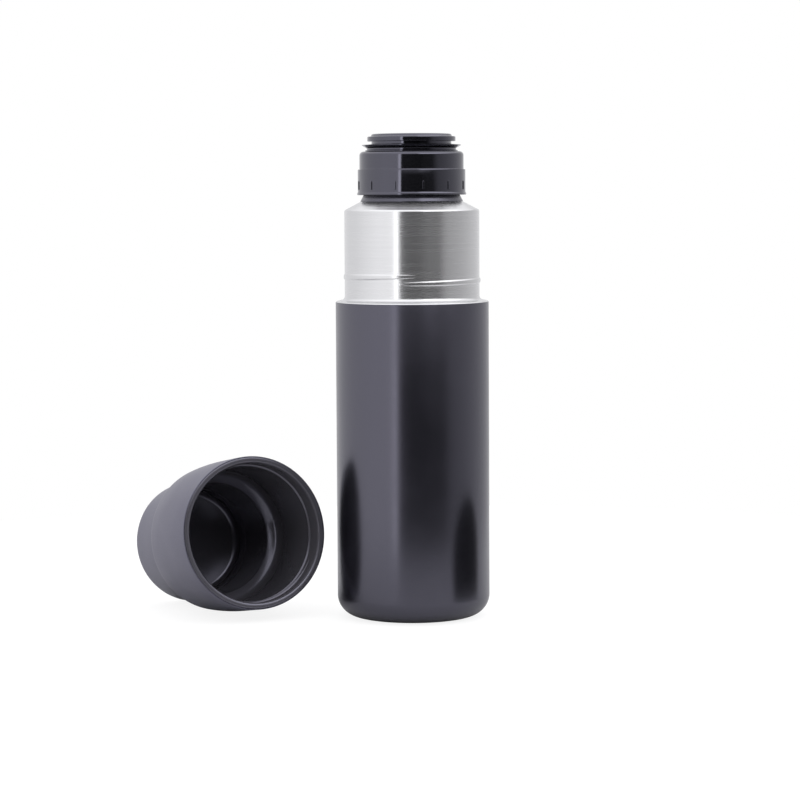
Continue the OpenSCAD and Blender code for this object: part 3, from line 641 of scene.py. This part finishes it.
stepRise = (lowRadius - cup["end"]) * math.tan(math.radians(cup["slope"]))
barrelLength = cup["step"] - cup["straight"]
barrelRadius = (barrelLength ** 2 + cup["crown"] ** 2) / (2 * cup["crown"])
barrelEnd = math.degrees(math.asin(barrelLength / barrelRadius))
shellPath = ([(cup["radius"] - 0.3, 0.25), (cup["radius"] - 0.08, 0.4), (cup["radius"], 0.75)]
             + arcPoints((cup["radius"] - barrelRadius, cup["straight"]), barrelRadius,
                         0, barrelEnd, 16)[:-1]
             + [(lowRadius + 0.02, cup["step"] - 0.3), (lowRadius - 0.06, cup["step"] - 0.05),
                (lowRadius - 0.3, cup["step"] + 0.16), (cup["end"], cup["step"] + stepRise)])
cupShell = turnPiece("cupShell", sheetSection(shellPath, cup["wall"]), 192)
laid(cupShell)
finished(cupShell, "cup", "cup_paint", "cup_shell")

endBase = cup["step"] + stepRise
endPath = ([(cup["end"], endBase)]
           + arcPoints((cornerX, cornerZ), cup["corner"], 0, 90, 16) + [(0, cup["length"])])
underPath = ([(cup["end"] - cup["wall"], endBase)]
             + arcPoints((cornerX, cornerZ), cup["corner"] - cup["wall"], 0, 90, 16)
             + [(0, cup["length"] - cup["wall"])])
cupEnd = turnPiece("cupEnd", underPath[::-1] + endPath, 192, closed=False)
laid(cupEnd)
finished(cupEnd, "cup", "cup_paint", "cup_end_cap")

# the liner's inside: a hollow shoulder of one radius and turn, the shoulder's inner edge, and
# the edge and bend of its floor
lining = {"sweep": 6.0, "sweepEnd": 58, "sweepHeight": 41.9, "ledge": (28.0, 49.0),
          "edge": 75.0, "edgeInset": 1.7, "bend": 3.0}
floorTop = cup["length"] - cup["wall"] - 0.1
innerStep = cup["shoulder"] + (cup["bore"] - cup["small"] - 0.6) * math.tan(
    math.radians(cup["slope"]))
edge, bend, ledge = lining["edge"], lining["bend"], lining["ledge"]
edgeRadius = cup["small"] - lining["edgeInset"]
bendAt = (edgeRadius - bend, floorTop - cup["liner"] - bend)
sweepAt = (cup["bore"] - lining["sweep"], lining["sweepHeight"])
linerIn = ([(cup["bore"] + 0.9, 0.02), (cup["bore"] + 0.62, 0.16), (cup["bore"] + 0.12, 0.9),
            (cup["bore"], 1.2)] + arcPoints(sweepAt, lining["sweep"], 0, lining["sweepEnd"], 14)
           + [(ledge[0] + 0.25, ledge[1] - 0.16), (ledge[0] + 0.08, ledge[1] + 0.02),
              (ledge[0] + 0.01, ledge[1] + 0.22), (ledge[0], ledge[1] + 0.5),
              (edgeRadius + 0.80, edge - 0.9), (edgeRadius + 0.72, edge - 0.5),
              (edgeRadius + 0.25, edge), (edgeRadius + 0.12, edge + 0.3)]
           + arcPoints(bendAt, bend, 0, 90, 14) + [(0, bendAt[1] + bend)])
linerOut = ([(cup["bore"] + cup["liner"], 2.4),
             (cup["bore"] + cup["liner"], cup["shoulder"] + 0.2),
             (cup["small"] + 0.6 + cup["liner"], innerStep + 0.2),
             (cup["small"] + cup["liner"], innerStep + 5),
             (cup["small"] - 0.7 + cup["liner"], edge - 3)]
            + arcPoints(bendAt, bend + cup["liner"], 0, 90, 14) + [(0, floorTop)])
rimOut = cup["radius"] - cup["wall"] - 0.05
linerRim = [(rimOut - 0.3, 0.0), (rimOut - 0.1, 0.08), (rimOut, 0.3), (rimOut, 2.4)]
liner = turnPiece("cupLiner", linerIn[::-1] + linerRim + linerOut, 192, closed=False)
cupThread = threadRidge("linerThread", cup["bore"], cup["crest"], cup["pitch"] * 0.3,
                        cup["pitch"] * 0.14, cup["pitch"], cup["turns"], cup["threadBase"], 20)
rounded(cupThread, 0.2, 3)
joined(liner, [cupThread])
laid(liner)
finished(liner, "cup", "liner_gloss", "cup_liner")
print("cup modelled")

floor = {"radius": 0.46, "glow": 0.72}  # glow lightens the shadows that the camera sees
startPiece()
bpy.ops.mesh.primitive_circle_add(vertices=96, radius=floor["radius"], fill_type="NGON")
table = bpy.context.object
table.name = "paleFloor"
paper = softGrain("paleFloorPaper", (0.54, 0.54, 0.54), (0.58, 0.58, 0.58), (0.75, 0.85),
                  300, 0.01 * mm)
sheetShader = Shader(paper.node_tree)
paperNodes = paper.node_tree.nodes
glow = sheetShader.node("ShaderNodeEmission", None, {"Color": (1, 1, 1, 1), "Strength": 1.2})
lit = sheetShader.out(sheetShader.node("ShaderNodeLightPath"), "Is Camera Ray") * floor["glow"]
blended = sheetShader.node("ShaderNodeMixShader", None, {
    0: lit, 1: sheetShader.out(paperNodes["Principled BSDF"], 0), 2: sheetShader.out(glow, 0)})
paper.node_tree.links.new(blended.outputs[0], paperNodes["Material Output"].inputs["Surface"])
table.data.materials.append(paper)

# a small black card beside the flask, which only shows as a dark shape in its gloss
card = {"heading": 73, "distance": 0.097, "halfWidth": 0.04, "halfHeight": 0.042,
        "middle": 0.018, "facing": -27.1}
startPiece()
bpy.ops.mesh.primitive_circle_add(vertices=64, radius=1, fill_type="NGON",
                                  rotation=(math.radians(90), 0, 0))
flag = bpy.context.object
flag.name = "blackCard"
cardTurn = math.radians(card["heading"] + card["facing"])
flag.scale = (card["halfWidth"], card["halfHeight"], 1)
flag.rotation_euler = (math.radians(90), 0, cardTurn)
flag.location = (card["distance"] * math.sin(cardTurn), -card["distance"] * math.cos(cardTurn),
                 card["middle"])
bpy.ops.object.transform_apply(location=True, rotation=True, scale=True)
flag.data.materials.append(softGrain("blackFelt", (0.001, 0.001, 0.001), (0.004, 0.004, 0.004),
                                     (0.9, 1.0), 900, 0.05 * mm))
for ray in ("camera", "diffuse", "shadow", "transmission", "volume_scatter"):
    setattr(flag, "visible_" + ray, False)

camera = {"place": (-0.5978, -1.1544, 0.209), "forward": (0.4542, 0.8875, -0.0785),
          "roll": 0.31, "lens": 119.4, "sensor": 36.0}
lens = bpy.data.cameras.new("studioCamera")
lens.lens, lens.sensor_width = camera["lens"], camera["sensor"]
lens.clip_start, lens.clip_end = 0.05, 20
view = bpy.data.objects.new("studioCamera", lens)
scene.collection.objects.link(view)
view.matrix_world = (Matrix.Translation(camera["place"])
                     @ Vector(camera["forward"]).to_track_quat("-Z", "Y").to_matrix().to_4x4()
                     @ Matrix.Rotation(math.radians(-camera["roll"]), 4, "Z"))
scene.camera = view

# Light round the flask by heading, in degrees from the camera's side: left is negative.
# Each row is a heading and its brightness, at the flask's height and higher up.
studio = {
    "round": [(-180, 0.9), (-110, 1.05), (-60, 1.3), (-30, 1.3), (-28.5, 3.1), (-24.3, 3.1),
              (-22.5, 0.03), (22, 0.01), (25, 0.03), (46, 0.05), (60, 0.36), (120, 0.75),
              (180, 0.95)],
    "high": [(-180, 1.2), (-60, 1.5), (-22, 1.8), (12, 1.5), (24, 3.6), (60, 3.2), (120, 1.5),
             (180, 1.2)],
    "above": 1.8, "facing": -27.1, "backdrop": 1.0,
    "raised": (0.34, 0.50), "upward": (0.60, 0.85)}  # heights between which each takes over
world = bpy.data.worlds.new("softStudio")
scene.world = world
world.use_nodes = True
sky = Shader(world.node_tree)
world.node_tree.nodes.clear()
direction = sky.out(sky.node("ShaderNodeTexCoord"), "Generated")
turned = sky.node("ShaderNodeMapping", {"vector_type": "POINT"}, {
    "Vector": direction, "Rotation": (0, 0, math.radians(-studio["facing"]))})
parts = sky.node("ShaderNodeSeparateXYZ", None, {0: sky.out(turned, 0)})
backwards = sky.out(parts, 1) * -1
heading = sky.out(sky.node("ShaderNodeMath", {"operation": "ARCTAN2"},
                           {0: sky.out(parts, 0), 1: backwards}), 0)
height = sky.out(parts, 2)


def panels(rows):
    brightest = max(v for a, v in rows)
    ramp = sky.node("ShaderNodeValToRGB", {"stops": [
        ((a + 180) / 360, (v / brightest,) * 3) for a, v in rows]},
        {0: heading * (0.5 / math.pi) + 0.5})
    return sky.out(ramp, 0) * brightest


raised = sky.between(height, 0.0, 1.0, *studio["raised"])
upward = sky.between(height, 0.0, 1.0, *studio["upward"])
sides = (1 - raised) * panels(studio["round"]) + raised * panels(studio["high"])
strength = (1 - upward) * sides + upward * studio["above"]
light = sky.node("ShaderNodeBackground", None, {"Color": (0.985, 0.985, 1.0, 1),
                                                "Strength": strength})
backdrop = sky.node("ShaderNodeBackground", None, {"Color": (1, 1, 1, 1),
                                                   "Strength": studio["backdrop"]})
seen = sky.node("ShaderNodeLightPath")
both = sky.node("ShaderNodeMixShader", None, {0: sky.out(seen, "Is Camera Ray"),
                                              1: sky.out(light, 0), 2: sky.out(backdrop, 0)})
sky.node("ShaderNodeOutputWorld", None, {0: sky.out(both, 0)})
world.cycles.sampling_method = "MANUAL"
world.cycles.sample_map_resolution = 2048
scene.view_settings.view_transform = "Standard"
print("studio set")
